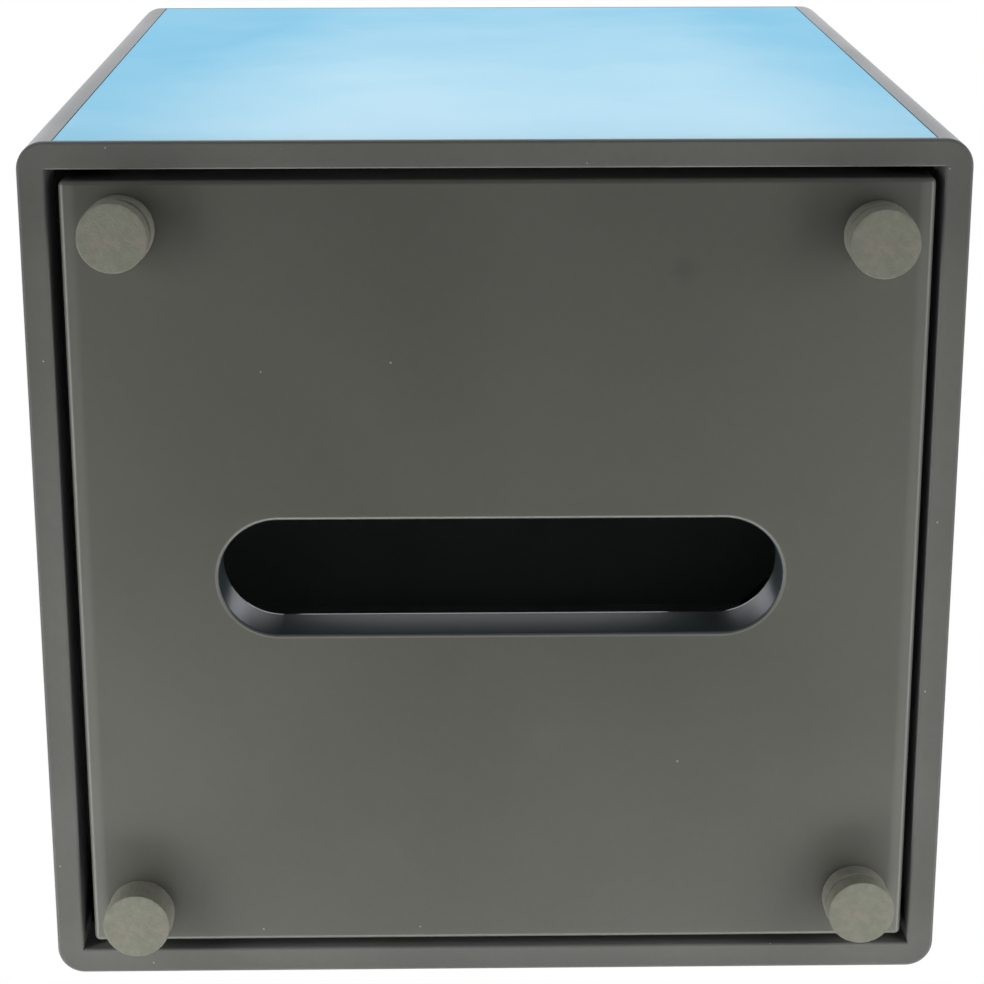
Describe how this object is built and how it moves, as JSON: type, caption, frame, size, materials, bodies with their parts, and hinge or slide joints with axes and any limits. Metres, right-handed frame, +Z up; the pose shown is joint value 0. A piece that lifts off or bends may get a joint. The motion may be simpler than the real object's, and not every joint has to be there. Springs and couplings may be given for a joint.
{
  "type": "tissue box cover with pull-out base",
  "caption": "Square lacquered tissue box cover with inlaid sides, a rounded outlet in the top and a pull-out base with a finger slot on foam feet.",
  "frame": {"origin": "centre of the box at the surface that its feet stand on", "axes": "+Z up, -Y the front (the blue face that the picture shows), +X to the right of someone who faces the front"},
  "size_m": [0.133, 0.127, 0.165],
  "materials": {
    "black_lacquer": "satin black lacquer over board",
    "blue_sheet": "pale blue sheet under clear gloss",
    "blacked_wood": "matt black stain",
    "magnet_plate": "nickel plated",
    "foot_foam": "closed-cell foam, matt"
  },
  "bodies": {
    "base": {"base_panel": "black_lacquer", "front_left_base_magnet": "magnet_plate", "front_right_base_magnet": "magnet_plate", "back_left_base_magnet": "magnet_plate", "back_right_base_magnet": "magnet_plate", "front_left_foot_spacer": "foot_foam", "front_right_foot_spacer": "foot_foam", "back_left_foot_spacer": "foot_foam", "back_right_foot_spacer": "foot_foam", "front_left_foot_pad": "foot_foam", "front_right_foot_pad": "foot_foam", "back_left_foot_pad": "foot_foam", "back_right_foot_pad": "foot_foam"},
    "shell": {"front_board": "black_lacquer", "right_board": "black_lacquer", "back_board": "black_lacquer", "left_board": "black_lacquer", "front_inlay": "blue_sheet", "right_inlay": "blue_sheet", "back_inlay": "blue_sheet", "left_inlay": "blue_sheet", "top_board": "black_lacquer", "front_left_block": "blacked_wood", "front_right_block": "blacked_wood", "back_left_block": "blacked_wood", "back_right_block": "blacked_wood", "left_stop_rail": "blacked_wood", "right_stop_rail": "blacked_wood", "front_left_rail_magnet": "magnet_plate", "front_right_rail_magnet": "magnet_plate", "back_left_rail_magnet": "magnet_plate", "back_right_rail_magnet": "magnet_plate"}
  },
  "joints": [
    {"name": "shell_lift", "type": "slide", "parent": "base", "child": "shell", "axis": [0, 0, 1], "range_m": [0, 0.15]}
  ]
}
